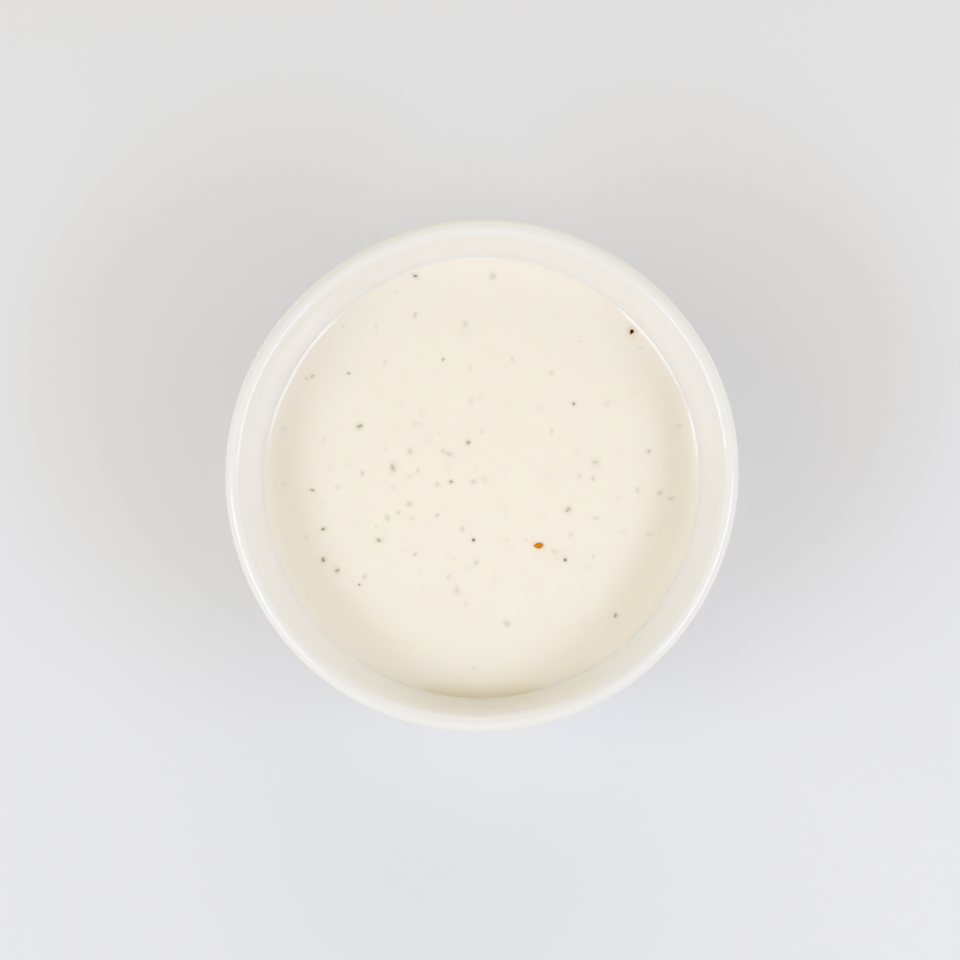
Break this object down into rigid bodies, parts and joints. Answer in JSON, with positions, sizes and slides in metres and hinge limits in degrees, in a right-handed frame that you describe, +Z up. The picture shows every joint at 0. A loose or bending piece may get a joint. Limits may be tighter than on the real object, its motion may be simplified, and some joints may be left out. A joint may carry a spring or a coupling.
{
  "type": "bowl of ranch dressing",
  "caption": "Small round white porcelain bowl, filled to well below its lip with a creamy, herb-flecked ranch dressing.",
  "frame": {"origin": "centre of the foot ring, on the surface that the bowl stands on", "axes": "+Z up along the bowl's axis, out of its mouth; +X to the right and +Y away from someone looking at it from the front"},
  "size_m": [0.0904, 0.0904, 0.032],
  "materials": {
    "porcelain": "gloss",
    "dressing": "satin",
    "dried_herb": "satin",
    "black_pepper": "satin",
    "red_pepper": "satin"
  },
  "bodies": {
    "root": {"bowl": "porcelain", "ranch_dressing": "dressing"}
  },
  "joints": []
}
